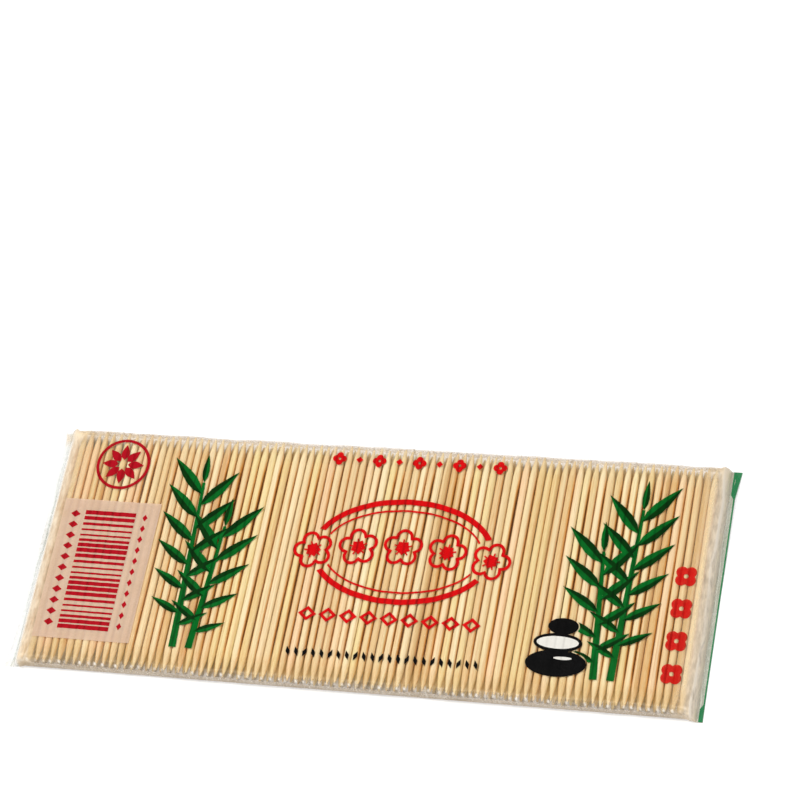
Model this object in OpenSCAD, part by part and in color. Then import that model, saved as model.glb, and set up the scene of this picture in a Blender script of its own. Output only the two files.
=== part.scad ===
// Flat clear-film pack of bamboo toothpicks.
// The toothpicks lie side by side in two layers, and the film over them carries a plain garden print.
// Units are millimetres. X runs along the pack, Y runs along the toothpicks and Z is up.
// The origin is the middle of the underside.

/* [Toothpicks] */
// Length of one toothpick over both points
pick_length = 65; // [60:1:80]
// Diameter of the thickest toothpick
pick_d = 2; // [1.7:0.05:2.4]
// How much thinner than that the thinnest toothpick is
pick_d_spread = 0.22; // [0:0.02:0.4]
// Diameter of the blunt point
tip_d = 0.4; // [0.2:0.05:0.8]
// Length of the taper at each end
tip_length = 6.5; // [3:0.5:12]
// Mean gap between neighbouring toothpicks in a layer
pick_gap = 0.1; // [0.06:0.01:0.3]
// Furthest that a toothpick slips along its own length
pick_slip = 0.4; // [0:0.1:1]
// How strongly neighbouring toothpicks lean together, from none to full
lean_share = 0.8; // [0:0.1:1]
// Toothpicks in one bundle
picks_per_bundle = 5; // [4:1:8]
// Bundles side by side in one layer
bundles_per_layer = 17; // [16:1:24]
// Gap between the two layers
layer_gap = 0.02; // [0.02:0.01:0.3]
// How far the lower layer is shifted along the pack, so that it fills the upper layer's gaps
layer_shift = 1; // [0:0.1:1.2]

/* [Film] */
// Thickness of the film wall
film_wall = 0.12; // [0.08:0.01:0.25]
// Gap between the film and the toothpicks above, below and beside them
film_gap = 0.06; // [0.03:0.01:0.4]
// Gap between the film and the furthest point of a toothpick
tip_gap = 0.4; // [0.2:0.1:2]
// Outer radius where the film turns round the points
edge_r = 1.5; // [0.8:0.1:1.8]
// Length over which the film comes down at the plain end
plain_slope = 1.7; // [0.6:0.1:6]
// Width of the flat seam at the plain end
plain_seam = 1.5; // [0.5:0.1:5]
// Length over which the film comes down at the striped end
striped_slope = 1; // [0.6:0.1:10]
// Width of the flat seam at the striped end
striped_seam = 1.6; // [1.2:0.1:6]
// How far the longer pointed corner stands out from the plain seam
corner_out = 1.2; // [0.2:0.1:3]
// How far the upper corner of the striped seam stands out
striped_corner_out = 1; // [0.2:0.1:2]

/* [Green end stripe] */
// Width of the stripe where it shows at the corners
stripe_w = 1.1; // [0.4:0.1:1.4]
// Width of the stripe along the folded edge between them
stripe_edge_w = 0.4; // [0.2:0.1:1]
// Length of the wide piece at the upper corner
stripe_upper = 7.5; // [3:0.5:15]
// Length of the wide piece at the lower corner
stripe_lower = 4.5; // [3:0.5:15]

/* [Print] */
// Thickness of one coat of ink
ink = 0.04; // [0.02:0.01:0.1]
// Bare film above the print and beside it
print_margin = 1.5; // [0.5:0.1:4]
// Bare film below the print
print_foot = 5.5; // [2:0.5:8]
// Bare film left round a shape that stands in front of another
knock_out = 0.3; // [0.1:0.1:1]

/* [Panel] */
// Width of the pale panel
panel_w = 26; // [22:1:30]
// Height of the pale panel
panel_h = 39; // [34:1:40]
// Length of the red bars on the panel
bar_length = 13.6; // [8:0.2:15]
// Number of red bars
bars = 22; // [10:1:30]
// Height of the stack of red bars
bars_h = 33.5; // [25:0.5:33.5]

/* [Medallion] */
// Outer radius of the medallion over the panel
medallion_r = 7.2; // [4:0.2:7.6]
// Petals of the medallion's flower
medallion_petals = 8; // [5:1:12]

/* [Sprigs] */
// Height of the taller stem
sprig_h = 54; // [36:1:54]
// Width of a stem at its foot
stem_w = 1.9; // [0.8:0.1:3]
// Distance between the two stems at the foot
stem_pitch = 4.2; // [3.2:0.2:7]
// Length of the longest leaf
leaf_l = 13.5; // [8:0.5:14]
// Width of the longest leaf
leaf_w = 3; // [1.5:0.1:4]
// Leaves on the taller stem
leaves = 13; // [7:1:15]

/* [Emblem] */
// Width of the oval ring
oval_w = 47; // [40:1:50]
// Height of the oval ring
oval_h = 29; // [26:1:32]
// Thickness of the oval ring
ring_w = 1.5; // [0.6:0.1:2]
// Radius of one blossom
blossom_r = 5.2; // [3:0.1:5.4]
// Blossoms in the row
blossoms = 5; // [3:1:5]
// Distance between blossoms
blossom_pitch = 11.4; // [11:0.1:12]
// Thickness of a drawn line
line_w = 0.8; // [0.4:0.05:1]

/* [Small ornaments] */
// Radius of a small ornament in the rows
ornament_r = 1.8; // [1:0.1:2.2]
// Radius of an ornament in the column
column_r = 3; // [2:0.1:3.2]
// Ornaments in the column
column_count = 4; // [2:1:4]
// Distance between ornaments in the column
column_pitch = 8.6; // [7:0.2:9]

/* [Pebbles] */
// Width of the lowest pebble
pebble_w = 15; // [10:0.5:15]
// Height of the lowest pebble
pebble_h = 7; // [4:0.5:7]

/* [Hidden] */
LAYERS = ["lower", "upper"];
PRINT_NODES = ["pale_panel", "red_print", "green_print", "dark_green_print", "black_print",
               "white_print", "green_end_stripe"];

// Sides of a full circle on the film, and on a small drawn shape
FINE = 48;
COARSE = 16;
// Points along each side of a leaf
LEAF_STEPS = 5;

// The layout of the toothpicks is drawn at random from these seeds, so it is the same every time
SIZE_SEED = 11;
GAP_SEED = 23;
SLIP_SEED = 47;
// Part of the mean gap that every pair of neighbours keeps
LEAST_GAP_SHARE = 0.3;
// Groups of leaning toothpicks along a layer
LEAN_GROUPS = 5;

// How a leaf and a flower are drawn, as shares of their length or radius
LEAF_BELLY = 0.75;
BLOSSOM_PETALS = 5;
PETAL_OUT = 0.56;
PETAL_SHARE = 0.44;
HEART_SHARE = 0.17;
THREAD_SHARE = 0.45;
// Bars in one wave of thick and thin, and their mean and swing as shares of their pitch
BARS_IN_WAVE = 7;
BAR_SHARE = 0.55;
BAR_SWING = 0.22;
// Distance from the bars to the lozenges beside them, as a share of the bars' length
MARK_OUT = 0.19;
// Bend of the blossom row in blossom radii, and how far each blossom turns from its neighbour
ROW_BEND = 0.1;
ROW_TURN = 10;
// Ornaments on each side of the middle one in a row, and their pitch in radii
ROW_SIDE = 4;
ROW_PITCH = 2.9;
// Dashes on each side of the middle one, their pitch, width and height in radii, and their lean
DASH_SIDE = 11;
DASH_PITCH = 1.2;
DASH_W = 0.6;
DASH_H = 1.5;
DASH_LEAN = 18;
// Width and height of an open lozenge in radii, and the share of it that is open
OPEN_LOZENGE = [2.6, 2.2];
OPEN_SHARE = 0.5;
// Lowest leaf as a share of the stem, and the lean of the lowest leaf and of the highest
LEAF_START = 0.13;
LOW_LEAN = 64;
HIGH_LEAN = 38;
// Size of the lowest leaf and of the leaf at the stem's end, as shares of the longest
LOW_LEAF = 0.62;
END_LEAF = 0.6;
// Lean of the taller stem and of the shorter one, and the shorter one's share of the height
TALL_LEAN = 2;
SHORT_LEAN = -4;
SHORT_SHARE = 0.78;
SHORT_FEWER_LEAVES = 3;
// Width of a stem at its top, as a share of its width at the foot
STEM_TOP = 0.4;
// The pebbles from the lowest up, and the glint on the lowest. Each has its place across and up, its
// width and its height, as shares of the lowest one's width and height.
PEBBLES = [[0, 0.5, 1, 1], [-0.02, 1.28, 0.8, 0.7], [0.03, 1.9, 0.5, 0.62]];
GLINT = [0.1, 0.7, 0.3, 0.12];
// Which pebble is white, counted from 0
WHITE_PEBBLE = 1;

picks_per_layer = picks_per_bundle * bundles_per_layer;
diameters = [for (layer = [0:1])
    [for (r = rands(0, 1, picks_per_layer, SIZE_SEED + layer)) pick_d - pick_d_spread * r]];
block_w = max(total(diameters[0]), total(diameters[1])) + pick_gap * (picks_per_layer - 1);
low_end_x = [for (layer = [0:1]) axis_places(diameters[layer], gaps(layer, 0))];
high_end_x = [for (layer = [0:1]) axis_places(diameters[layer], gaps(layer, 1))];
slips = [for (layer = [0:1]) rands(-pick_slip, pick_slip, picks_per_layer, SLIP_SEED + layer)];

// The film is as wide and as high as the toothpicks make it
half_w = pick_length / 2 + pick_slip + tip_gap + film_wall;
pack_h = 2 * (pick_d + film_gap + film_wall) + layer_gap;
seam_h = 2 * film_wall;
shoulder_r = pick_d / 2 + film_gap + film_wall;

// Places along X, first with the toothpicks in the middle, then moved so that the pack is centred
block_end = (block_w + layer_shift) / 2 + film_gap + film_wall;
plain_end = -block_end - plain_slope - plain_seam - corner_out;
striped_edge = block_end + striped_slope + striped_seam;
striped_end = striped_edge + striped_corner_out;
centre_x = (plain_end + striped_end) / 2;

// The flat part of the film's top, which the print keeps to
flat_left = -block_end + shoulder_r;
flat_right = block_end - shoulder_r;
flat_half_w = half_w - edge_r;
print_low = -flat_half_w + print_foot;
print_high = flat_half_w - print_margin;

// Where each piece of the print stands
panel_x = flat_left + print_margin + panel_w / 2;
panel_y = print_low + panel_h / 2;
medallion_y = print_high - medallion_r;
left_sprig_x = panel_x + panel_w / 2 + leaf_l;
column_x = flat_right - print_margin - column_r;
right_sprig_x = column_x - column_r - leaf_l;
pebbles_x = right_sprig_x - stem_pitch - pebble_w / 2;
emblem_x = (left_sprig_x + pebbles_x) / 2 + stem_pitch;
emblem_y = (print_low + print_high) / 2 + ornament_r;
top_row_y = print_high - ornament_r;
red_row_y = emblem_y - oval_h / 2 - OPEN_LOZENGE[1] * ornament_r;
black_row_y = print_low + DASH_H * ornament_r / 2;

FILM_COLOUR = [0.93, 0.94, 0.93, 0.35];
PICK_COLOUR = [0.86, 0.72, 0.52];
PANEL_COLOUR = [0.88, 0.74, 0.66];
RED = [0.85, 0.09, 0.1];
GREEN = [0.06, 0.42, 0.16];
DARK_GREEN = [0.03, 0.24, 0.07];
BLACK = [0.06, 0.06, 0.06];
WHITE = [0.95, 0.94, 0.9];
STRIPE_COLOUR = [0.05, 0.52, 0.3];

function two_digits(n) = n < 10 ? str("0", n) : str(n);
function bundle_name(layer, bundle) = str(LAYERS[layer], "_picks_", two_digits(bundle));
function total(v) = v * [for (x = v) 1];
function running_total(v) =
    [for (i = 0, sum = v[0]; i < len(v); i = i + 1, sum = sum + (i < len(v) ? v[i] : 0)) sum];

// Gaps between neighbours at one end of a layer. They fill the block's width, and their slow wave
// makes groups of toothpicks lean the same way.
function gaps(layer, end) =
    let (count = picks_per_layer - 1,
         free = block_w - total(diameters[layer]),
         least = LEAST_GAP_SHARE * free / count,
         phase = 360 * (0.3 * layer + 0.5 * end),
         random = rands(0, 1, count, GAP_SEED + 2 * layer + end),
         shares = [for (i = [0:count - 1])
             random[i] * (1 + lean_share * sin(phase + 360 * LEAN_GROUPS * i / count))])
    [for (share = shares) least + (free - count * least) * share / total(shares)];

// Where the axes of a layer's toothpicks cross one end of the block
function axis_places(d, gap) =
    let (steps = [for (i = [0:len(gap) - 1]) (d[i] + d[i + 1]) / 2 + gap[i]])
    concat([0], running_total(steps)) + [for (i = [0:len(gap)]) d[0] / 2 - block_w / 2];

// One side of a leaf that points along X, from its stalk to its tip, and then the whole leaf
function leaf_side(length, width, sign) =
    [for (i = [0:LEAF_STEPS])
        let (along = i / LEAF_STEPS)
        [length * along, sign * width / 2 * sin(180 * pow(along, LEAF_BELLY))]];
function leaf_outline(length, width) =
    let (far = leaf_side(length, width, -1))
    concat(leaf_side(length, width, 1), [for (i = [LEAF_STEPS - 1:-1:1]) far[i]]);

// Toothpicks

module toothpick(d) {
    rotate_extrude($fn = COARSE)
        polygon([
            [0, -pick_length / 2],
            [tip_d / 2, -pick_length / 2],
            [d / 2, tip_length - pick_length / 2],
            [d / 2, pick_length / 2 - tip_length],
            [tip_d / 2, pick_length / 2],
            [0, pick_length / 2]]);
}

module pick_bundle(layer, bundle) {
    first = (bundle - 1) * picks_per_bundle;
    layer_floor = film_wall + film_gap + layer * (pick_d + layer_gap);
    layer_x = (0.5 - layer) * layer_shift - centre_x;
    color(PICK_COLOUR)
        for (i = [first:first + picks_per_bundle - 1]) {
            d = diameters[layer][i];
            low_x = low_end_x[layer][i];
            high_x = high_end_x[layer][i];
            translate([(low_x + high_x) / 2 + layer_x, slips[layer][i], layer_floor + d / 2])
                rotate([0, 0, -atan((high_x - low_x) / pick_length)])
                    rotate([-90, 0, 0])
                        toothpick(d);
        }
}

// Film

// Outline of the film across the pack, in Y and Z
module cross_outline() {
    translate([edge_r - half_w, edge_r])
        offset(r = edge_r, $fn = FINE)
            square([2 * (half_w - edge_r), pack_h - 2 * edge_r]);
}

// Outline of the film along the pack, in X and Z
module long_outline() {
    shoulder_z = pack_h - shoulder_r;
    foot_left = -block_end - plain_slope;
    foot_right = block_end + striped_slope;
    hull() {
        translate([flat_left, shoulder_z])
            circle(shoulder_r, $fn = FINE);
        translate([flat_right, shoulder_z])
            circle(shoulder_r, $fn = FINE);
        translate([foot_left, 0])
            square([foot_right - foot_left, seam_h]);
    }
}

// The closed space inside the film's outer face, or that space taken in by the wall
module pouch(taken_in) {
    reach = 2 * (block_w + pick_length);
    intersection() {
        translate([-reach / 2, 0, 0])
            rotate([90, 0, 90])
                linear_extrude(reach)
                    offset(delta = -taken_in)
                        cross_outline();
        translate([0, reach / 2, 0])
            rotate([90, 0, 0])
                linear_extrude(reach)
                    offset(delta = -taken_in)
                        long_outline();
    }
}

// Flat seam at the plain end, with two pointed corners
module plain_seam_outline() {
    inner = -block_end - plain_slope + film_wall / 2;
    edge = -block_end - plain_slope - plain_seam;
    polygon([
        [inner, -half_w],
        [edge - corner_out, -half_w],
        [edge, 2 * corner_out - half_w],
        [edge, half_w - 1.4 * corner_out],
        [edge - 0.6 * corner_out, half_w],
        [inner, half_w]]);
}

// Flat seam at the striped end. Its upper corner flares out along the length of the wide stripe.
module striped_seam_outline() {
    inner = block_end + striped_slope - film_wall / 2;
    polygon([
        [inner, -half_w],
        [striped_edge, -half_w],
        [striped_edge, half_w - stripe_upper],
        [striped_end, half_w],
        [inner, half_w]]);
}

module film_bag() {
    color(FILM_COLOUR)
        translate([-centre_x, 0, 0]) {
            difference() {
                pouch(0);
                pouch(film_wall);
            }
            linear_extrude(seam_h)
                plain_seam_outline();
            linear_extrude(seam_h)
                striped_seam_outline();
        }
}

module green_end_stripe() {
    color(STRIPE_COLOUR)
        translate([striped_edge - centre_x, 0, seam_h])
            linear_extrude(ink)
                polygon([
                    [0, -half_w],
                    [0, half_w - stripe_upper],
                    [striped_corner_out, half_w],
                    [-stripe_w, half_w],
                    [-stripe_w, half_w - stripe_upper + stripe_w],
                    [-stripe_edge_w, half_w - stripe_upper],
                    [-stripe_edge_w, stripe_lower - half_w],
                    [-stripe_w, stripe_lower - stripe_w - half_w],
                    [-stripe_w, -half_w]]);
}

// Print. Coat 0 lies on the film, and coat 1 lies on coat 0.

module coat(level) {
    translate([-centre_x, 0, pack_h + level * ink])
        linear_extrude(ink)
            offset(delta = 0)
                children();
}

module lozenge(width, height) {
    polygon([[width / 2, 0], [0, height / 2], [-width / 2, 0], [0, -height / 2]]);
}

module quatrefoil(r) {
    difference() {
        for (turn = [0:90:270])
            rotate(turn)
                translate([r / 2, 0])
                    circle(r / 2, $fn = COARSE);
        circle(r / 5, $fn = COARSE / 2);
    }
}

module petals(r) {
    for (k = [1:BLOSSOM_PETALS])
        rotate(90 + 360 * k / BLOSSOM_PETALS)
            translate([PETAL_OUT * r, 0])
                circle(PETAL_SHARE * r, $fn = COARSE);
}

module blossom(r) {
    difference() {
        petals(r);
        offset(delta = -line_w)
            petals(r);
    }
    circle(HEART_SHARE * r, $fn = COARSE / 2);
    for (k = [1:BLOSSOM_PETALS])
        rotate(90 + 360 * k / BLOSSOM_PETALS)
            translate([0, -line_w / 4])
                square([THREAD_SHARE * r, line_w / 2]);
}

module oval(width, height) {
    scale([width / 2, height / 2])
        circle(1, $fn = FINE + COARSE);
}

module oval_ring(width, height, thickness) {
    difference() {
        oval(width, height);
        oval(width - 2 * thickness, height - 2 * thickness);
    }
}

// A ring with a flower of narrow petals in it
module medallion() {
    oval_ring(2 * medallion_r, 2 * medallion_r, line_w);
    reach = medallion_r - 2 * line_w;
    for (k = [0:medallion_petals - 1])
        rotate(360 * k / medallion_petals)
            translate([0.22 * reach, 0])
                polygon(leaf_outline(0.78 * reach, 0.4 * reach));
}

// Bars that swell and thin in a slow wave, beside a column of lozenges
module panel_marks() {
    pitch = bars_h / bars;
    for (k = [0:bars - 1])
        translate([-bar_length / 2, pitch * k - bars_h / 2])
            square([bar_length, pitch * (BAR_SHARE + BAR_SWING * cos(360 * k / BARS_IN_WAVE))]);
    for (side = [-1, 1], k = [0:bars / 2 - 1])
        translate([side * (0.5 + MARK_OUT) * bar_length, 2 * pitch * (k + 0.5) - bars_h / 2])
            lozenge(pitch * (1.3 - 0.4 * side), 1.3 * pitch);
}

module blossom_row() {
    last = (blossoms - 1) / 2;
    for (place = [-last:last])
        translate([place * blossom_pitch, blossom_r * ROW_BEND * (pow(last, 2) / 2 - pow(place, 2))])
            rotate(-ROW_TURN * place)
                children();
}

module emblem() {
    difference() {
        union() {
            oval_ring(oval_w, oval_h, ring_w);
            oval_ring(oval_w - 4 * ring_w, oval_h - 4 * ring_w, ring_w / 3);
        }
        blossom_row()
            circle(blossom_r + line_w, $fn = COARSE);
    }
    blossom_row()
        blossom(blossom_r);
}

module open_lozenge(share) {
    lozenge(OPEN_LOZENGE[0] * ornament_r * share, OPEN_LOZENGE[1] * ornament_r * share);
}

// A row of ornaments over the emblem and a row of open lozenges under it
module ornament_rows() {
    for (k = [-ROW_SIDE:ROW_SIDE])
        translate([emblem_x + ROW_PITCH * ornament_r * k, top_row_y])
            if (k % 2 == 0)
                quatrefoil(ornament_r);
            else
                lozenge(ornament_r, ornament_r);
    for (k = [-ROW_SIDE:ROW_SIDE])
        translate([emblem_x + ROW_PITCH * ornament_r * k, red_row_y])
            difference() {
                open_lozenge(1);
                open_lozenge(OPEN_SHARE);
            }
}

module ornament_column() {
    for (k = [0:column_count - 1])
        translate([column_x, print_low + column_r + column_pitch * k])
            rotate(45)
                quatrefoil(column_r);
}

// A stem with leaves on both sides. Shade draws one half of each leaf only.
module stem(height, count, shade) {
    if (!shade)
        polygon([
            [-stem_w / 2, 0],
            [stem_w / 2, 0],
            [STEM_TOP * stem_w / 2, height],
            [-STEM_TOP * stem_w / 2, height]]);
    for (i = [0:count - 1]) {
        up = i / (count - 1);
        side = i % 2 == 0 ? 1 : -1;
        at_end = i == count - 1;
        size = at_end ? END_LEAF : LOW_LEAF + (1 - LOW_LEAF) * sin(90 * up);
        lean = at_end ? 0 : side * (LOW_LEAN + (HIGH_LEAN - LOW_LEAN) * up);
        translate([0, height * (LEAF_START + (1 - LEAF_START) * up)])
            rotate(90 - lean)
                polygon(shade ? leaf_side(size * leaf_l, size * leaf_w, 1)
                              : leaf_outline(size * leaf_l, size * leaf_w));
    }
}

// Two stems side by side, leaning apart. The leaf at the end reaches the sprig's full height.
module sprig(shade) {
    end_leaf = END_LEAF * leaf_l;
    translate([-stem_pitch / 2, 0])
        rotate(TALL_LEAN)
            stem(sprig_h - end_leaf, leaves, shade);
    translate([stem_pitch / 2, 0])
        rotate(SHORT_LEAN)
            stem(SHORT_SHARE * sprig_h - end_leaf, leaves - SHORT_FEWER_LEAVES, shade);
}

module sprigs(shade) {
    translate([left_sprig_x, print_low])
        sprig(shade);
    translate([right_sprig_x, print_low])
        mirror([1, 0])
            sprig(shade);
}

// An oval with its place, width and height from a row of shares, with its edge taken in
module pebble(shares, taken_in) {
    translate([shares[0] * pebble_w, shares[1] * pebble_h])
        oval(shares[2] * pebble_w - 2 * taken_in, shares[3] * pebble_h - 2 * taken_in);
}

// Three pebbles one on another, the middle one white with a black edge. Light draws what is white.
module pebbles(light) {
    translate([pebbles_x, print_low])
        if (light) {
            pebble(PEBBLES[WHITE_PEBBLE], line_w);
            pebble(GLINT, 0);
        } else {
            for (shares = PEBBLES)
                pebble(shares, 0);
        }
}

module pale_panel() {
    color(PANEL_COLOUR)
        coat(0)
            translate([panel_x - panel_w / 2, panel_y - panel_h / 2])
                square([panel_w, panel_h]);
}

module red_print() {
    color(RED) {
        coat(0) {
            translate([panel_x, medallion_y])
                medallion();
            translate([emblem_x, emblem_y])
                emblem();
            ornament_rows();
            ornament_column();
        }
        coat(1)
            translate([panel_x, panel_y])
                panel_marks();
    }
}

// The sprigs, cut away where the pebbles stand in front of them
module sprigs_behind_pebbles(shade) {
    difference() {
        sprigs(shade);
        offset(delta = knock_out)
            pebbles(false);
    }
}

module green_print() {
    color(GREEN)
        coat(0)
            sprigs_behind_pebbles(false);
}

module dark_green_print() {
    color(DARK_GREEN)
        coat(1)
            sprigs_behind_pebbles(true);
}

module black_print() {
    color(BLACK)
        coat(0) {
            pebbles(false);
            for (k = [-DASH_SIDE:DASH_SIDE])
                translate([emblem_x + DASH_PITCH * ornament_r * k, black_row_y])
                    rotate(k % 3 == 0 ? -DASH_LEAN : DASH_LEAN)
                        lozenge(DASH_W * ornament_r, DASH_H * ornament_r);
        }
}

module white_print() {
    color(WHITE)
        coat(1)
            pebbles(true);
}

film_bag();
for (layer = [0:1], bundle = [1:bundles_per_layer])
    pick_bundle(layer, bundle);
pale_panel();
red_print();
green_print();
dark_green_print();
black_print();
white_print();
green_end_stripe();
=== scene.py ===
"""Looks of a flat clear-film pack of bamboo toothpicks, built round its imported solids.

Each toothpick, the film and the print are made again in finer detail where their solids stand.
Lengths in this script are millimetres, and they become metres where a mesh is made.
"""

import math
from collections import namedtuple

import bmesh
import bpy
import numpy as np
from mathutils import Matrix, Vector

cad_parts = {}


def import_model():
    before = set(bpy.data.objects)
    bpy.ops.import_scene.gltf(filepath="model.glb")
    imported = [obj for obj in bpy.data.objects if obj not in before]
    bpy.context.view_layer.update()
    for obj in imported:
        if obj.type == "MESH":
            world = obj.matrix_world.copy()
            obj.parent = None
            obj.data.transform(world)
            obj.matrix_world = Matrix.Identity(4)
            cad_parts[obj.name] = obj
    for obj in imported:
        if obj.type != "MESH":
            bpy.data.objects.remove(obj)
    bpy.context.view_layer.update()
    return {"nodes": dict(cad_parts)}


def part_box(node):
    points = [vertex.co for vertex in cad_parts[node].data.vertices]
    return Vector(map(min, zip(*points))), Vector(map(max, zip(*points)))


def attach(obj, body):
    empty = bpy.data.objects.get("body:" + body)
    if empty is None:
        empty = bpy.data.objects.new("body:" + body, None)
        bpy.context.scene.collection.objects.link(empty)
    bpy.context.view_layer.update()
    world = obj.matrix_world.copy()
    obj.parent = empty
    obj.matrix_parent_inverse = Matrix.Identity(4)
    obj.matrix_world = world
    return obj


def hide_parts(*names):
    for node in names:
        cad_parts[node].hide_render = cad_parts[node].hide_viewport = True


MM = 0.001

# Toothpicks: the blunt point and how far from the end it is round, and the bow of a whole stick
POINT_R = 0.16
POINT_ROUND = 0.12
BOW = 0.03
# Sides and rings of a toothpick's mesh
MESH_STEPS = {"upper": (24, 16), "lower": (14, 9)}
FIRST_BUNDLE_SEED = 100

# Film. The profile and the seams follow the solid of the bag.
SEAM_H = 0.24
EDGE_R = 1.5
LOW_EDGE_R = 0.7
PLAIN_SLOPE = 2.8
PLAIN_BULGE = 1.6
PLAIN_SEAM = 1.5
STRIPED_SLOPE = 2.1
STRIPED_BULGE = 1.7
STRIPED_SEAM = 1.6
# Corners that stand out from the seams: which side, how far and along what length
PLAIN_EARS = ((-1, 1.2, 2.4), (1, 0.72, 1.7))
STRIPED_EARS = ((1, 1.0, 7.5),)
# How far the film sags between two neighbouring toothpicks, per square of the distance
TOP_SAG = 0.03
TIP_SAG = 0.012
# How sharply it bends over a toothpick, on top and at the points
TOP_TIGHT = 45
TIP_TIGHT = 12
FILM_OVER_TIP = 0.35
# How far inside the bag's solid the foot of the long walls stands
FOOT_IN = 0.35
# Pleats that run in from each long edge
PLEATS = 95
FILM_SEED = 41
# Folds along the ends: place beyond the foot of the slope, rise, width and phase
PLAIN_FOLDS = ((-0.5, 0.06, 0.2, 0.3), (0.9, -0.05, 0.3, 1.7))
STRIPED_FOLDS = ((0.4, 0.07, 0.2, 2.1), (-0.9, 0.06, 0.3, 4.0))

# Steps of the film's mesh along the pack, and across it near the long edges
COLUMN_STEP = 0.22
FINE_RIM = 6
FINE_STEP = 0.4

# Where each cloud starts and where it is full, in from an end of the block of toothpicks
PLAIN_CREAM = (5.55, 2.25)
PLAIN_FAINT_CREAM = (39.75, 9.75)
PLAIN_HIGHLIGHT = (2.55, 0.55)
STRIPED_CREAM = (6.05, 2.75)
STRIPED_HIGHLIGHT = (2.35, -0.45)
# The same, in from a long edge of the film
FAR_CREAM = (4.82, 1.62)
NEAR_CREAM = (2.42, 0.92)
# Where the painted reflection of the wood starts and is full
NEAR_WOOD_REFLECTION = (7.92, 3.42)
# The seam on the back: its middle and half its width
BACK_SEAM_Y = 3
BACK_SEAM_HALF = 4.2
GLINT_SEED = 43

# Print: the grid that its sheets are cut on, and how near to a cut a point counts as on it
CUT_X = 0.25
CUT_Y = 3.0
CUT_SNAP = 0.002
# The share of its height over the bag's solid that it keeps over the film
LIFT = 0.6
# Where along the pack its colour changes, and then its opacity, as shares of half the length
PLAIN_CHANGE = (-0.58, -0.64)
STRIPED_CHANGE = (0.7, 0.76)

# Stage. Under the part, the floor's own light fades out between two distances in from the edge, which
# paints a shadow there.
FLOOR_HALF = 3000
FLOOR_DROP = 0.05
FLOOR_GLOW = 0.38
FLOOR_SHADOW_FADE_X = (2.33, 5.33)
FLOOR_SHADOW_FADE_Y = (0.02, 1.92)
WORLD_LIGHT = 0.42

Stick = namedtuple("Stick", "layer low high radius taper")
Ink = namedtuple("Ink", "slot colour second opacity shade plain_end striped_end", defaults=(None, 1))

INKS = {
    "pale_panel": Ink("pale_ink", (236, 206, 182), (229, 197, 170), 0.76, 0.95),
    "red_print": Ink("red_ink", (222, 10, 16), (204, 6, 12), 0.99, 0.3, (176, 14, 30), 0.86),
    "green_print": Ink("green_ink", (4, 106, 36), (2, 86, 24), 0.995, 0.35),
    "dark_green_print": Ink("dark_green_ink", (4, 56, 10), (2, 42, 6), 0.995, 0.4),
    "black_print": Ink("black_ink", (8, 7, 7), (5, 5, 5), 1.0, 0.6),
    "white_print": Ink("white_ink", (246, 243, 234), (238, 234, 224), 0.93, 0.85),
    "green_end_stripe": Ink("stripe_ink", (16, 140, 82), (10, 124, 70), 0.95, 1, striped_end=0.85)}


# Shared by all pieces

def smoothstep(start, end, value):
    """0 before start, 1 past end and a smooth change between. The end may be the lower one."""
    share = np.clip((value - start) / (end - start), 0, 1)
    return share * share * (3 - 2 * share)


def tube_faces(count, around):
    """The faces between neighbours in a row of rings, each with as many points around."""
    return [(i * around + k, i * around + (k + 1) % around,
             (i + 1) * around + (k + 1) % around, (i + 1) * around + k)
            for i in range(count - 1) for k in range(around)]


def make_object(name, points, faces, **attributes):
    """A smooth mesh object from points in millimetres, with one float attribute for each name."""
    mesh = bpy.data.meshes.new(name)
    mesh.from_pydata((np.asarray(points) * MM).tolist(), [], faces)
    for attribute, values in attributes.items():
        layer = mesh.attributes.new(attribute, "FLOAT", "POINT")
        layer.data.foreach_set("value", np.asarray(values, np.float32))
    mesh.validate()
    mesh.polygons.foreach_set("use_smooth", [True] * len(mesh.polygons))
    made = bpy.data.objects.new(name, mesh)
    bpy.context.scene.collection.objects.link(made)
    return made


def dress(piece, material, slot, *nodes):
    """Gives a piece its material and lets it stand for CAD nodes. Its slot is not used."""
    piece.data.materials.append(material)
    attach(piece, "root")
    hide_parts(*nodes)


# Toothpicks

def solids_of(node):
    """The points of each separate solid of a CAD node, in order along X."""
    bm = bmesh.new()
    bm.from_mesh(node.data)
    bmesh.ops.remove_doubles(bm, verts=bm.verts, dist=1e-6)
    left, solids = set(bm.verts), []
    while left:
        reached, solid = [left.pop()], []
        while reached:
            vertex = reached.pop()
            solid.append(vertex.co[:])
            for edge in vertex.link_edges:
                other = edge.other_vert(vertex)
                if other in left:
                    left.remove(other)
                    reached.append(other)
        solids.append(np.array(solid) / MM)
    bm.free()
    return sorted(solids, key=lambda points: points[:, 0].mean())


def measured(layer, points):
    """The ends of a toothpick's axis, its radius and the length of its taper."""
    y = points[:, 1]
    low = points[y < y.min() + 0.1].mean(0)
    high = points[y > y.max() - 0.1].mean(0)
    along = (high - low) / np.linalg.norm(high - low)
    out = points - low
    away = np.linalg.norm(out - np.outer(out @ along, along), axis=1)
    body = y[away > 0.98 * away.max()]
    return Stick(layer, low, high, away.max(), body.min() - y.min())


def axis_x(stick, y):
    """Where the axis of a toothpick is along the pack, at places across it."""
    share = (y - stick.low[1]) / (stick.high[1] - stick.low[1])
    return stick.low[0] + (stick.high[0] - stick.low[0]) * share


def painted_side_shade(stick, from_end, turn, gaps, wave):
    """Shade painted on a toothpick where its neighbours touch it. A darker painted gap shade reaches
    further round.
    """
    toward = np.cos(turn)
    drift = (0.75 + 0.25 * wave) * (
        0.25 + 0.75 * smoothstep(stick.taper * 0.5, stick.taper + 5, from_end))
    return drift * (gaps[0] * smoothstep(0.88 - 0.38 * gaps[0], 0.98, -toward)
                    + gaps[1] * smoothstep(0.82 - 0.42 * gaps[1], 0.97, toward))


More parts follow.
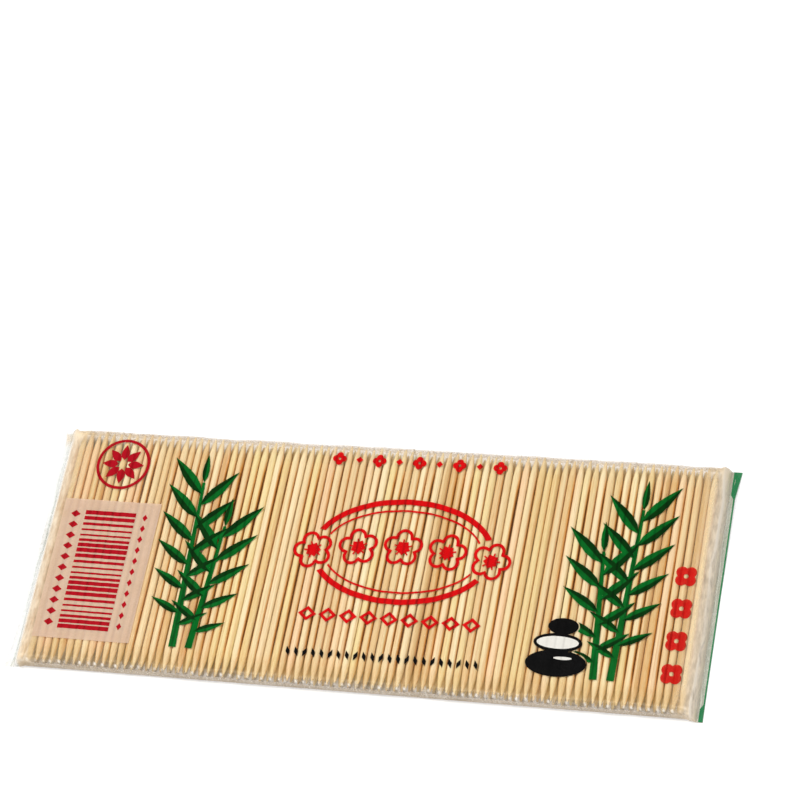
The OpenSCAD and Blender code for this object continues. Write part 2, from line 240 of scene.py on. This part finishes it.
def stick_mesh(stick, gaps, rng):
    """Points, faces and attributes of one toothpick, a little uneven as split bamboo is.

    The two gap shades say how dark the shade painted on its sides is, towards -X and towards +X.
    """
    sides, rings = MESH_STEPS[stick.layer]
    length = np.linalg.norm(stick.high - stick.low)
    # The rings stand closer together at the points
    point = np.linspace(0, 1, rings) ** 1.4 * stick.taper
    body = np.linspace(stick.taper, length - stick.taper, rings)[1:-1]
    s = np.concatenate([point, body, length - point[::-1]])[:, None]
    from_end = np.minimum(s, length - s)
    share = np.clip(from_end / stick.taper, 0, 1)
    blunt = POINT_R * np.sqrt(np.clip(from_end / POINT_ROUND, 0.02, 1))
    radius = blunt + (stick.radius - POINT_R) * np.sin(share * math.pi / 2) ** 0.9

    # Slightly oval, slightly three-sided, and slowly thicker and thinner
    turn = np.linspace(0, 2 * math.pi, sides, endpoint=False)[None, :]
    phase = rng.uniform(0, 2 * math.pi, 6)
    radius = radius * (1 - 0.02 * (1 + np.sin(2 * turn + phase[0]))
                       - 0.012 * (1 + np.sin(3 * turn + phase[1] + 0.08 * s))
                       - 0.008 * (1 + np.sin(s / 7 + phase[2])))

    along = (stick.high - stick.low) / length
    across = np.cross(along, [0, 0, 1])
    up = np.cross(across, along)
    bow = BOW * np.sin(math.pi * s / length + 0.4 * np.sin(phase[3])) * math.sin(phase[4])
    points = (stick.low + s[..., None] * along
              + (radius * np.cos(turn) + bow)[..., None] * across
              + (radius * np.sin(turn))[..., None] * up).reshape(-1, 3)
    count = len(s)
    first, last, start = count * sides, count * sides + 1, (count - 1) * sides
    faces = tube_faces(count, sides)
    faces += [(first, (k + 1) % sides, k) for k in range(sides)]
    faces += [(last, start + k, start + (k + 1) % sides) for k in range(sides)]

    def on_points(values, at_ends):
        spread = np.broadcast_to(values, (count, sides)).ravel()
        return np.concatenate([spread, [at_ends, at_ends]])

    return np.vstack([points, stick.low, stick.high]), faces, {
        "tone": on_points(rng.beta(1.5, 1.3), 0.5),
        "warmth": on_points(rng.uniform(0, 1), 0.5),
        "rind": on_points(np.cos(turn - phase[5]), 0),
        # Shade painted on the sides where the neighbours touch
        "gap": on_points(painted_side_shade(stick, from_end, turn, gaps, np.sin(s / 9 + phase[2])), 0),
        "tip": on_points(1 - smoothstep(0, stick.taper, from_end), 1)}


def build_bundle(name, sticks, rng):
    """The toothpicks of one CAD node as one piece."""
    points, faces, attributes, offset = [], [], {}, 0
    # The lower layer only shows between the points of the upper one, where its gaps are hidden, so no
    # shade is painted on it
    gaps = rng.beta(0.6, 0.75, len(sticks) + 1) * (sticks[0].layer == "upper")
    for index, stick in enumerate(sticks):
        own_points, own_faces, own_attributes = stick_mesh(stick, gaps[index:index + 2], rng)
        points.append(own_points)
        faces += [tuple(v + offset for v in face) for face in own_faces]
        offset += len(own_points)
        for key, values in own_attributes.items():
            attributes.setdefault(key, []).append(values)
    return make_object(name, np.vstack(points), faces,
                       **{key: np.concatenate(values) for key, values in attributes.items()})


# Shape of the film

class Film:
    """The shape of the film: tight over the toothpicks, pleated at the edges, flat at the seams."""

    def __init__(self, sticks, lo, hi):
        self.half_l, self.half_w, self.top = hi
        self.plain_edge = lo[0] + PLAIN_EARS[0][1]
        self.plain_foot = self.plain_edge + PLAIN_SEAM
        self.striped_edge = hi[0] - STRIPED_EARS[0][1]
        self.striped_foot = self.striped_edge - STRIPED_SEAM
        self.upper = [s for s in sticks if s.layer == "upper"]
        self.block = (min(s.low[0] - s.radius for s in sticks),
                      max(s.high[0] + s.radius for s in sticks))
        self.highest = max(s.low[2] + s.radius for s in self.upper)
        # Each point's place along the pack and how far it reaches out, by layer and side
        self.rows_of_tips = {
            (layer, side): [(end[0], abs(end[1])) for s in sticks if s.layer == layer
                            for end in [s.low if side < 0 else s.high]]
            for layer in ("lower", "upper") for side in (-1, 1)}
        rng = np.random.default_rng(FILM_SEED)
        self.pleats = {side: [self.new_pleat(rng) for _ in range(PLEATS)] for side in (-1, 1)}
        # Pitch, phase and slant of each slow wave
        self.waves = [(rng.uniform(0.05, 0.35), rng.uniform(0, 6.3), rng.uniform(-0.1, 0.1))
                      for _ in range(7)]

    def new_pleat(self, rng):
        """Place, rise, width, reach and slant of a pleat. A wide pleat is lower and runs further."""
        width = rng.uniform(0.25, 0.9)
        return (rng.uniform(*self.block), rng.uniform(-0.08, 0.1) * (1.4 - width), width,
                0.6 + 4.5 * width ** 2, rng.uniform(-0.25, 0.25))

    def inside_block(self, x):
        """1 over the block of toothpicks, and down to 0 at its ends."""
        return smoothstep(self.block[0], self.block[0] + 1.2, x) * smoothstep(
            self.block[1], self.block[1] - 1.2, x)

    def profile(self, x):
        """Height of the film along the pack, with a slope and a flat seam at each end."""
        def rise(from_foot, slope, power):
            share = np.clip(from_foot / slope, 0, 1)
            return (1 - (1 - share) ** power) ** (1 / power)
        plain = rise(x - self.plain_foot, PLAIN_SLOPE, PLAIN_BULGE)
        striped = rise(self.striped_foot - x, STRIPED_SLOPE, STRIPED_BULGE)
        return SEAM_H + (self.top - SEAM_H) * np.minimum(plain, striped)

    def drape(self, x, y):
        """How far the tight film lies under the bag's flat top, from stick to stick."""
        total = np.zeros(np.broadcast(x, y).shape)
        for stick in self.upper:
            under = stick.low[2] + stick.radius - self.highest
            total += np.exp(TOP_TIGHT * (under - TOP_SAG * (x - axis_x(stick, y)) ** 2))
        return np.log(total + 1e-6) / TOP_TIGHT * self.inside_block(x) - 0.03

    def over_gap(self, x, y):
        """How near places on the film are to the gap between two upper toothpicks, 0 to 1."""
        nearest = np.full(x.shape, np.inf)
        for stick in self.upper:
            nearest = np.minimum(nearest, np.abs(x - axis_x(stick, y)))
        return smoothstep(0.55, 0.95, nearest)

    def pleat(self, x, from_edge, side):
        """Small sharp folds that run in from a long edge, and the highlight painted along each."""
        height = np.zeros(np.broadcast(x, from_edge).shape)
        white = np.zeros_like(height)
        for place, rise, width, reach, slant in self.pleats[side]:
            off = np.abs(x - place - slant * from_edge) / width
            fade = np.exp(-(from_edge / reach) ** 2)
            height += rise * np.exp(-off ** 1.5) * fade
            white += abs(rise) * 3 * np.exp(-(off * 2.2) ** 2) * fade
        return height, white

    def pleats_at(self, x, y, from_edge):
        """The same for places on both sides, each with the pleats of the edge on its own side."""
        near, far = (self.pleat(x, from_edge, side) for side in (-1, 1))
        return [np.where(y < 0, near[k], far[k]) for k in (0, 1)]

    def wall(self, x, height, side):
        """How far the side wall lies inside the bag's solid, where the points hold it out."""
        found = {}
        for layer in ("lower", "upper"):
            total = np.zeros(np.broadcast(x, height).shape)
            for tip_x, reach in self.rows_of_tips[layer, side]:
                out = reach + FILM_OVER_TIP - self.half_w
                total += np.exp(TIP_TIGHT * (out - TIP_SAG * (x - tip_x) ** 2))
            found[layer] = np.log(total + 1e-9) / TIP_TIGHT - 0.1
        middle = self.top / 2
        share = smoothstep(middle - 0.6, middle + 0.6, height)
        pinched = 0.12 * np.exp(-((height - middle) / 0.5) ** 2)
        held = found["lower"] * (1 - share) + found["upper"] * share - pinched
        foot = smoothstep(1.6, 0.3, height)
        return (held * (1 - foot) - FOOT_IN * foot) * self.inside_block(x)

    def end_fold(self, x, y):
        """Soft folds along both ends, and the highlight painted along each."""
        height = np.zeros(np.broadcast(x, y).shape)
        white = np.zeros_like(height)
        for foot, folds in ((self.plain_foot, PLAIN_FOLDS), (self.striped_foot, STRIPED_FOLDS)):
            for beyond, rise, width, phase in folds:
                wander = 0.22 * np.sin(y / 5.1 + phase) + 0.12 * np.sin(y / 1.9 + 2 * phase)
                off = (x - foot - beyond - wander) / width
                fade = 0.65 + 0.35 * np.sin(y / 8.3 + 3 * phase)
                height += rise * fade * np.exp(-off ** 2)
                white += fade * np.exp(-(1.4 * off) ** 2)
        return height, white

    def swell(self, x, y):
        """Slow unevenness of the whole sheet."""
        total = np.zeros(np.broadcast(x, y).shape)
        for pitch, phase, slant in self.waves:
            total += np.sin(pitch * (x + slant * y) + phase) * np.sin(y / 17 + 2 * phase)
        return 0.012 * total

    def top_at(self, x, y):
        """Height of the film's upper face at places in plan."""
        pleat, _ = self.pleats_at(x, y, self.half_w - np.abs(y))
        fold, _ = self.end_fold(x, y)
        uneven = (pleat + self.swell(x, y)) * self.inside_block(x)
        return self.profile(x) + self.drape(x, y) + uneven + fold

    def ears_out(self, y, ears):
        """How far a seam's outline stands out at its pointed corners."""
        out = np.zeros_like(y)
        for side, reach, run in ears:
            share = np.clip(1 - (self.half_w - side * y) / run, 0, 1)
            out += reach * share ** 1.2
        return out

    def seams_out(self, x, y):
        """How far along X the seams stand out at the corners and waver at the striped end."""
        plain_share = np.clip((self.plain_foot - x) / PLAIN_SEAM, 0, 1)
        striped_share = np.clip((x - self.striped_foot) / STRIPED_SEAM, 0, 1)
        waver = 0.05 * np.sin(y / 4.3) * np.sin(y / 11 + 1) - 0.05
        return striped_share * (self.ears_out(y, STRIPED_EARS) + waver) - (
            plain_share * self.ears_out(y, PLAIN_EARS))


def film_rows(half_w, height):
    """The film's outline across the pack, as rows of (y, z, outward y, outward z)."""
    flat = half_w - EDGE_R
    rim = np.arange(flat, flat - FINE_RIM, -FINE_STEP)
    middle = np.linspace(flat - FINE_RIM, FINE_RIM - flat, 27)
    over = [(y, height, 0, 1) for y in np.concatenate([rim, middle, -rim[::-1]])]

    def corner(upper, steps):
        """One rounded corner of the near side, from the top down."""
        radius = EDGE_R if upper else LOW_EDGE_R
        centre_z = height - radius if upper else radius
        for k in range(1, steps):
            turn = math.pi / 2 * k / steps
            out, up = (math.sin(turn), math.cos(turn)) if upper else (math.cos(turn), -math.sin(turn))
            yield radius * (1 - out) - half_w, centre_z + radius * up, -out, up

    wall = [(-half_w, z, -1, 0) for z in np.linspace(height - EDGE_R, LOW_EDGE_R, 6)]
    down = [*corner(True, 7), *wall, *corner(False, 5)]
    low_flat = half_w - LOW_EDGE_R
    under = [(y, 0, 0, -1) for y in np.linspace(-low_flat, low_flat, 20)]
    up_again = [(-y, z, -out_y, out_z) for y, z, out_y, out_z in reversed(down)]
    return np.array(over + down + under + up_again)


def film_columns(film):
    """Places of the film's rings along the pack, close together where it slopes."""
    steep = np.linspace(0, 1, 18) ** 1.7
    level_from, level_to = film.plain_foot + PLAIN_SLOPE, film.striped_foot - STRIPED_SLOPE
    return np.concatenate([
        np.linspace(film.plain_edge, film.plain_foot, 8)[:-1],
        film.plain_foot + PLAIN_SLOPE * steep[:-1],
        np.arange(level_from, level_to - 0.05, COLUMN_STEP),
        film.striped_foot - STRIPED_SLOPE * steep[:0:-1],
        np.linspace(film.striped_foot, film.striped_edge, 9)])


# Clouds in the film

def tip_glints(film, x, outward):
    """Highlights painted along the rounded edges, where the upper points hold the film out."""
    rng = np.random.default_rng(GLINT_SEED)
    at_tips = np.zeros(x.shape)
    for tip_x, _ in film.rows_of_tips["upper", -1]:
        place = tip_x + rng.uniform(-0.4, 0.4)
        at_tips += rng.uniform(0, 1) * np.exp(-((x - place) / 0.3) ** 2)
    return at_tips * smoothstep(0.5, 0.7, outward) * smoothstep(0.98, 0.85, outward)


def film_clouds(film, x, rows, from_edge, pleat_highlight):
    """How strong each cloud is on the film, at places along X and on the rows across."""
    row_y, row_z, out_y, out_z = rows
    upper, near, outward = out_z >= 0, row_y < 0, np.abs(out_y)
    from_plain, from_striped = x - film.block[0], film.block[1] - x
    from_far, from_near = film.half_w - row_y, film.half_w + row_y
    plain_zone = smoothstep(0.6, -0.6, from_plain)
    striped_zone = smoothstep(2.6, 0.4, from_striped)
    on_seam = smoothstep(film.striped_foot - 0.2, film.striped_foot + 0.3, x)
    ends = plain_zone + striped_zone
    on_wall = smoothstep(0.5, 0.9, outward)
    _, fold_highlight = film.end_fold(x, row_y)

    # Greyish haze on the long walls and along the seam on the back; more of it low down and on the near
    # wall, which is painted shade
    wall_haze_and_shade = 0.12 * on_wall + 0.55 * smoothstep(3.3, 1.9, row_z) * smoothstep(0.5, 0.8, outward)
    haze_and_shade = 0.001 + np.where(near, 1, 0.6) * wall_haze_and_shade * (1 - plain_zone)
    back_seam = (out_z < -0.99) * smoothstep(BACK_SEAM_HALF, BACK_SEAM_HALF - 0.2,
                                             np.abs(row_y - BACK_SEAM_Y))
    haze_and_shade = np.where(upper, haze_and_shade, haze_and_shade * 0.7) + 0.12 * back_seam
    # Shade painted low on the near wall
    painted_wall_shade = 0.42 * near * smoothstep(2.0, 0.2, row_z) * on_wall * (1 - ends)

    # Cream along all four edges, and beside the near one a straw-coloured painted reflection of the wood
    # that lightens the shade between the points
    cream = (0.32 * smoothstep(*FAR_CREAM, from_far) * (1 - 0.8 * outward)
             + 0.06 * smoothstep(*NEAR_CREAM, from_near)
             + (0.4 * smoothstep(*PLAIN_CREAM, from_plain)
                + 0.1 * smoothstep(*PLAIN_FAINT_CREAM, from_plain)) * (1 - plain_zone)
             + 0.26 * smoothstep(*STRIPED_CREAM, from_striped) + 0.22 * striped_zone)
    cream = cream * (1 - 0.8 * on_seam) * np.where(upper, 1, 0.4)
    painted_wood_reflection = 0.17 * smoothstep(*NEAR_WOOD_REFLECTION, from_near) * (1 - outward) * (1 - ends) * upper

    # Painted highlights where the film is creased or bent and over the upper points, and green at the
    # ends, mostly at the striped one
    end_highlight = (0.3 * smoothstep(*STRIPED_HIGHLIGHT, from_striped) * (1 - on_seam)
                  + 0.25 * smoothstep(*PLAIN_HIGHLIGHT, from_plain) * (1 - plain_zone)) * (out_z > 0)
    crease_highlight = 0.9 * np.clip(pleat_highlight, 0, 1) * film.inside_block(x) * smoothstep(2.5, 0, from_edge)
    white = 0.5 * fold_highlight * striped_zone + end_highlight + crease_highlight + tip_glints(film, x, outward) * upper
    green = (0.6 * on_seam * (0.8 + 0.2 * np.sin(row_y / 1.3) * np.sin(row_y / 3.1))
             + plain_zone * (0.06 + 0.25 * fold_highlight))
    return dict(haze_and_shade=haze_and_shade, cream=cream, white=white, green=green, painted_wood_reflection=painted_wood_reflection, painted_wall_shade=painted_wall_shade)


def build_film(film):
    """The bag as one closed sleeve that is pressed flat at both ends."""
    x = film_columns(film)[:, None]
    rows = film_rows(film.half_w, film.top).T[:, None, :]
    row_y, row_z, out_y, out_z = rows
    from_edge = np.where(np.abs(out_y) > 0.01, 0, film.half_w - np.abs(row_y))
    pleat, pleat_highlight = film.pleats_at(x, row_y, from_edge)
    inward = np.where(row_y < 0, film.wall(x, row_z, -1), film.wall(x, row_z, 1))
    y = (row_y + np.where(row_y < 0, -1, 1) * inward * smoothstep(2.6, 0.6, from_edge)
         + out_y * pleat * film.inside_block(x) * 0.8 * smoothstep(0.6, 2.6, row_z))
    z = row_z * film.profile(x) / film.top
    z = z + (film.top_at(x, row_y) - film.profile(x)) * np.clip(out_z, 0, 1)
    z = np.where(out_z < 0, np.maximum(z, 0), z)
    clouds = film_clouds(film, x, rows, from_edge, pleat_highlight)
    x = x + film.seams_out(x, row_y)

    shape = np.broadcast(x, y, z).shape
    count, around = shape
    points = np.stack([np.broadcast_to(v, shape).ravel() for v in (x, y, z)], axis=1)
    points = np.vstack([points, points[:around], points[-around:]])
    # Both ends are closed by a clear face, whose points have no cloud
    first, last = count * around, (count + 1) * around
    faces = tube_faces(count, around)
    faces += [tuple(range(last - 1, first - 1, -1)), tuple(range(last, last + around))]
    attributes = {
        name: np.concatenate([np.broadcast_to(share, shape).ravel(), np.zeros(2 * around)])
        for name, share in clouds.items()}
    return make_object("film_sleeve", points, faces, **attributes)


# Print

def ink_sheet(name, node, film):
    """The upper faces of a printed node, cut finely enough to lie on the film's folds."""
    bm = bmesh.new()
    bm.from_mesh(node.data)
    bmesh.ops.remove_doubles(bm, verts=bm.verts, dist=1e-7)
    bm.normal_update()
    not_on_top = [face for face in bm.faces if face.normal.z < 0.9]
    bmesh.ops.delete(bm, geom=not_on_top, context="FACES")
    lo, hi = (np.array(corner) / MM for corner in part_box(name))
    for axis, step in ((0, CUT_X), (1, CUT_Y)):
        normal = [0, 0, 0]
        normal[axis] = 1
        for place in np.arange(lo[axis] + step, hi[axis], step):
            at = [0, 0, 0]
            at[axis] = place * MM
            bmesh.ops.bisect_plane(bm, geom=bm.verts[:] + bm.edges[:] + bm.faces[:],
                                   dist=CUT_SNAP * MM, plane_co=at, plane_no=normal)
    bmesh.ops.triangulate(bm, faces=bm.faces[:])
    bmesh.ops.dissolve_degenerate(bm, dist=CUT_SNAP * MM, edges=bm.edges[:])
    bmesh.ops.triangulate(bm, faces=bm.faces[:])
    bm.verts.index_update()
    points = np.array([vertex.co[:] for vertex in bm.verts]) / MM
    faces = [tuple(vertex.index for vertex in face.verts) for face in bm.faces]
    bm.free()
    x, y, z = points.T
    base = film.top if z.min() > film.top else SEAM_H
    points[:, 2] = film.top_at(x, y) + LIFT * (z - base)
    # Where shade is painted on the ink: over the gaps between upper toothpicks
    return make_object(name + "_ink", points, faces, gap=film.over_gap(x, y), along=x / film.half_l)


# Materials

def new_material(name):
    material = bpy.data.materials.new(name)
    material.use_nodes = True
    return material, material.node_tree, material.node_tree.nodes["Principled BSDF"]


def linear(*colour):
    """An sRGB colour in 0 to 255 as the linear colour that a shader takes."""
    return tuple(((v / 255 + 0.055) / 1.055) ** 2.4 if v > 10 else v / 255 / 12.92
                 for v in colour) + (1,)


class Graph:
    """Short calls that add nodes to a material and join them."""

    def __init__(self, tree):
        self.tree = tree

    def put(self, target, value):
        if isinstance(value, bpy.types.NodeSocket):
            self.tree.links.new(value, target)
        else:
            target.default_value = value

    def attribute(self, name):
        node = self.tree.nodes.new("ShaderNodeAttribute")
        node.attribute_name = name
        return node.outputs["Fac"]

    def place(self, scale):
        """Object coordinates in millimetres, times scale."""
        source = self.tree.nodes.new("ShaderNodeTexCoord")
        mapping = self.tree.nodes.new("ShaderNodeMapping")
        mapping.inputs["Scale"].default_value = [s / MM for s in scale]
        self.tree.links.new(source.outputs["Object"], mapping.inputs["Vector"])
        return mapping.outputs["Vector"]

    def noise(self, scale, detail=3):
        node = self.tree.nodes.new("ShaderNodeTexNoise")
        node.inputs["Scale"].default_value = 1
        node.inputs["Detail"].default_value = detail
        node.inputs["Roughness"].default_value = 0.55
        self.tree.links.new(self.place(scale), node.inputs["Vector"])
        return node.outputs["Fac"]

    def math(self, operation, a, b=0.5, clamp=False):
        node = self.tree.nodes.new("ShaderNodeMath")
        node.operation = operation
        node.use_clamp = clamp
        self.put(node.inputs[0], a)
        self.put(node.inputs[1], b)
        return node.outputs[0]

    def ramp(self, value, from_min, from_max, to_min=0.0, to_max=1.0):
        node = self.tree.nodes.new("ShaderNodeMapRange")
        self.put(node.inputs["Value"], value)
        for key, number in (("From Min", from_min), ("From Max", from_max),
                            ("To Min", to_min), ("To Max", to_max)):
            node.inputs[key].default_value = number
        return node.outputs["Result"]

    def mix(self, share, a, b):
        node = self.tree.nodes.new("ShaderNodeMix")
        node.data_type = "RGBA"
        self.put(node.inputs["Factor"], share)
        self.put(node.inputs["A"], a)
        self.put(node.inputs["B"], b)
        return node.outputs["Result"]

    def bump(self, height, distance):
        node = self.tree.nodes.new("ShaderNodeBump")
        node.inputs["Distance"].default_value = distance * MM
        self.tree.links.new(height, node.inputs["Height"])
        return node.outputs["Normal"]

    def seen(self):
        """1 where a ray shows a place to the camera, by itself or in a mirror or glass."""
        paths = self.tree.nodes.new("ShaderNodeLightPath")
        direct = self.math("MAXIMUM", paths.outputs["Is Camera Ray"], paths.outputs["Is Glossy Ray"])
        return self.math("MAXIMUM", direct, paths.outputs["Is Transmission Ray"])


def bamboo_material():
    """Split bamboo: each stick's own tone, then grain, rind, pale points and shade painted in the gaps
    over it.
    """
    material, _, shader = new_material("split_bamboo")
    graph = Graph(material.node_tree)
    tone, warmth, gap = (graph.attribute(name) for name in ("tone", "warmth", "gap"))
    broad = graph.noise((1.4, 0.035, 1.4))
    fibre = graph.noise((7, 0.1, 7), detail=4)
    streak = graph.noise((2.6, 0.03, 2.6), detail=2)
    fine = graph.noise((16, 0.35, 16), detail=2)
    rind = graph.math("MULTIPLY", graph.ramp(graph.attribute("rind"), 0.72, 0.9),
                      graph.ramp(tone, 0.7, 0.2, 0, 0.6))
    colour = graph.mix(tone, linear(218, 168, 96), linear(255, 242, 198))
    tints = ((graph.ramp(warmth, 0.7, 1, 0, 0.75), (248, 202, 158)),
             (graph.ramp(warmth, 0.3, 0, 0, 0.75), (238, 214, 138)),
             (graph.ramp(broad, 0.5, 0.75, 0, 0.4), (222, 152, 76)),
             (graph.ramp(fibre, 0.52, 0.78, 0, 0.5), (196, 122, 50)),
             (graph.ramp(streak, 0.52, 0.7, 0, 0.4), (206, 140, 66)),
             (graph.ramp(fine, 0.35, 0.7, 0.35, 0), (255, 242, 200)),
             (rind, (196, 148, 74)),
             (graph.ramp(graph.attribute("tip"), 0.1, 1, 0, 0.5), (254, 236, 190)),
             # Shade painted in the gaps between neighbouring toothpicks, warm and then dark
             (graph.ramp(gap, 0, 0.5, 0, 0.9), (224, 156, 62)),
             (graph.ramp(gap, 0.4, 1, 0, 0.95), (122, 56, 4)))
    for share, tint in tints:
        colour = graph.mix(share, colour, linear(*tint))
    graph.put(shader.inputs["Base Color"], colour)
    graph.put(shader.inputs["Roughness"], graph.ramp(fibre, 0.3, 0.7, 0.5, 0.72))
    shader.inputs["Specular IOR Level"].default_value = 0.2
    graph.put(shader.inputs["Normal"], graph.bump(fibre, 0.06))
    return material


def film_relief(graph):
    """The fine crinkles that the film and the ink on it share."""
    crinkles = graph.math("ADD", graph.noise((0.9, 0.22, 0.9)), graph.noise((2.6, 1.4, 2.6), detail=2))
    return graph.bump(crinkles, 0.03)


def film_material():
    """Clear film. Its alpha is the mirror share and what clouds it, which has a colour each; some clouds
    are painted highlight, shade or reflection.
    """
    material, tree, shader = new_material("clear_film")
    graph = Graph(tree)
    fresnel = tree.nodes.new("ShaderNodeFresnel")
    fresnel.inputs["IOR"].default_value = 1.45
    mirror = graph.math("MULTIPLY", fresnel.outputs["Fac"], 0.15)
    soft = graph.ramp(graph.noise((0.8, 0.3, 0.8), detail=4), 0.3, 0.7, 0.65, 1.35)
    fine = graph.ramp(graph.noise((1.7, 1.1, 1.7)), 0.35, 0.65, 0.6, 1.4)
    # White specks over the haze, which are painted sparkles
    painted_sparkles = graph.ramp(graph.noise((2.4, 1.6, 2.4), detail=2), 0.56, 0.68)
    # The white cloud paints highlights, the straw-coloured one a reflection of the wood and the dark one
    # shade, and the haze is partly painted shade
    clouds = (("haze_and_shade", fine, (198, 178, 152)), ("cream", soft, (242, 216, 176)),
              ("white", soft, (250, 246, 238)), ("green", fine, (160, 172, 154)),
              ("painted_wood_reflection", soft, (228, 176, 80)), ("painted_wall_shade", soft, (132, 112, 92)))
    cover, colour = 0.001, (0.8, 0.8, 0.8, 1)
    for name, uneven, tint in clouds:
        share = graph.math("MULTIPLY", graph.attribute(name), uneven)
        if name == "white":
            share = graph.math("ADD", share, graph.math("MULTIPLY", graph.attribute("haze_and_shade"), painted_sparkles))
        cover = graph.math("ADD", share, cover)
        colour = graph.mix(graph.math("DIVIDE", share, cover), colour, linear(*tint))
    alpha = graph.math("ADD", mirror, cover, clamp=True)
    graph.put(shader.inputs["Alpha"], alpha)
    graph.put(shader.inputs["Metallic"], graph.math("DIVIDE", mirror, alpha, clamp=True))
    graph.put(shader.inputs["Base Color"], colour)
    graph.put(shader.inputs["Roughness"], graph.ramp(cover, 0, 0.5, 0.12, 0.35))
    graph.put(shader.inputs["Normal"], film_relief(graph))
    return material


def ink_material(ink):
    """Ink that lets a little of what is under it through, with shade painted over the gaps between
    toothpicks, its colour there darkened by the factor shade.

    It may have another colour at the plain end, and at the striped end striped_end is a factor
    of its opacity.
    """
    material, tree, shader = new_material(ink.slot)
    graph = Graph(tree)
    blotch = graph.noise((0.35, 0.35, 0.35))
    grain = graph.noise((5, 5, 5), detail=2)
    streak = graph.noise((0.9, 0.03, 0.9), detail=2)
    along = graph.attribute("along")
    flat = graph.mix(graph.ramp(blotch, 0.3, 0.7), linear(*ink.colour), linear(*ink.second))
    if ink.plain_end:
        flat = graph.mix(graph.ramp(along, *PLAIN_CHANGE), flat, linear(*ink.plain_end))
    # Shade of the gaps under the ink, painted on it
    gap_shade_share = graph.math("MULTIPLY", graph.attribute("gap"), graph.ramp(streak, 0.35, 0.65, 0.1, 0.8))
    painted_shade_colour = tuple(ink.shade * v for v in linear(*ink.second)[:3]) + (1,)
    graph.put(shader.inputs["Base Color"], graph.mix(gap_shade_share, flat, painted_shade_colour))
    graph.put(shader.inputs["Alpha"], graph.math(
        "MULTIPLY", graph.ramp(grain, 0.3, 0.75, ink.opacity, ink.opacity ** 2),
        graph.ramp(along, *STRIPED_CHANGE, 1, ink.striped_end)))
    graph.put(shader.inputs["Roughness"], graph.ramp(blotch, 0.3, 0.7, 0.25, 0.4))
    shader.inputs["Specular IOR Level"].default_value = 0.02
    graph.put(shader.inputs["Normal"], film_relief(graph))
    return material


# Stage

def build_floor(film):
    floor = make_object("floor", [(x * FLOOR_HALF, y * FLOOR_HALF, -FLOOR_DROP)
                                  for x, y in ((-1, -1), (1, -1), (1, 1), (-1, 1))], [(0, 1, 2, 3)])
    material, tree, shader = new_material("floor_white")
    graph = Graph(tree)
    shader.inputs["Base Color"].default_value = (0.8, 0.8, 0.8, 1)
    shader.inputs["Roughness"].default_value = 0.9
    shader.inputs["Specular IOR Level"].default_value = 0
    shader.inputs["Emission Color"].default_value = (1, 1, 1, 1)
    # The floor's own light stays out from under the pack, which paints a shadow there
    outline = tree.nodes.new("ShaderNodeSeparateXYZ")
    tree.links.new(graph.place((1, 1, 1)), outline.inputs["Vector"])
    outside_shadow = [graph.ramp(graph.math("ABSOLUTE", outline.outputs[axis]), half - fade[1], half - fade[0])
              for axis, half, fade in (("X", film.half_l, FLOOR_SHADOW_FADE_X), ("Y", film.half_w, FLOOR_SHADOW_FADE_Y))]
    glow = graph.math("MULTIPLY", graph.math("MAXIMUM", *outside_shadow), FLOOR_GLOW)
    graph.put(shader.inputs["Emission Strength"], graph.math("MULTIPLY", graph.seen(), glow))
    floor.data.materials.append(material)


def build_world():
    """White where it is seen, and dimmer as a light."""
    world = bpy.data.worlds.new("studio")
    bpy.context.scene.world = world
    world.use_nodes = True
    graph = Graph(world.node_tree)
    background = world.node_tree.nodes["Background"]
    background.inputs["Color"].default_value = (1, 1, 1, 1)
    graph.put(background.inputs["Strength"], graph.ramp(graph.seen(), 0, 1, WORLD_LIGHT, 1))


def add_light(name, place, size, power):
    """A rectangular lamp that shines at the origin."""
    light = bpy.data.lights.new(name, "AREA")
    light.shape = "RECTANGLE"
    light.size, light.size_y = size[0] * MM, size[1] * MM
    light.energy = power
    lamp = bpy.data.objects.new(name, light)
    bpy.context.scene.collection.objects.link(lamp)
    lamp.location = Vector(place) * MM
    lamp.rotation_euler = Vector(place).to_track_quat("Z", "Y").to_euler()


def build_lights():
    add_light("key", (-260, 120, 1100), (520, 520), 8.5)
    add_light("fill", (500, -900, 500), (300, 120), 2.2)


def build_camera():
    """The photograph's camera, found from the edges of the block of toothpicks."""
    azimuth, elevation, roll = (math.radians(v) for v in (30.67, 57.6, -23.51))
    target, distance = Vector((-1.03, 48.67, 0)), 791.7
    back = Vector((math.sin(azimuth) * math.cos(elevation),
                   -math.cos(azimuth) * math.cos(elevation), math.sin(elevation)))
    level = Vector((math.cos(azimuth), math.sin(azimuth), 0))
    upright = back.cross(level)
    right = math.cos(roll) * level + math.sin(roll) * upright
    up = math.cos(roll) * upright - math.sin(roll) * level
    camera = bpy.data.objects.new("camera", bpy.data.cameras.new("camera"))
    bpy.context.scene.collection.objects.link(camera)
    camera.data.lens = 139.5
    camera.data.sensor_width = 36
    camera.data.clip_start, camera.data.clip_end = 0.01, 20
    turn = Matrix((right, up, back)).transposed().to_4x4()
    camera.matrix_world = Matrix.Translation((target + distance * back) * MM) @ turn
    bpy.context.scene.camera = camera


def main():
    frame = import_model()
    nodes = frame["nodes"]

    bamboo = bamboo_material()
    sticks = []
    for index, name in enumerate(sorted(n for n in nodes if "_picks_" in n)):
        layer = name.split("_")[0]
        own = [measured(layer, points) for points in solids_of(nodes[name])]
        sticks += own
        rng = np.random.default_rng(FIRST_BUNDLE_SEED + index)
        dress(build_bundle(name + "_detail", own, rng), bamboo, "bamboo", name)

    film = Film(sticks, *(np.array(corner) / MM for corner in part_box("film_bag")))
    dress(build_film(film), film_material(), "film", "film_bag")
    for name, ink in INKS.items():
        dress(ink_sheet(name, nodes[name], film), ink_material(ink), ink.slot, name)

    build_floor(film)
    build_world()
    build_lights()
    build_camera()
    bpy.context.scene.view_settings.view_transform = "Standard"


main()
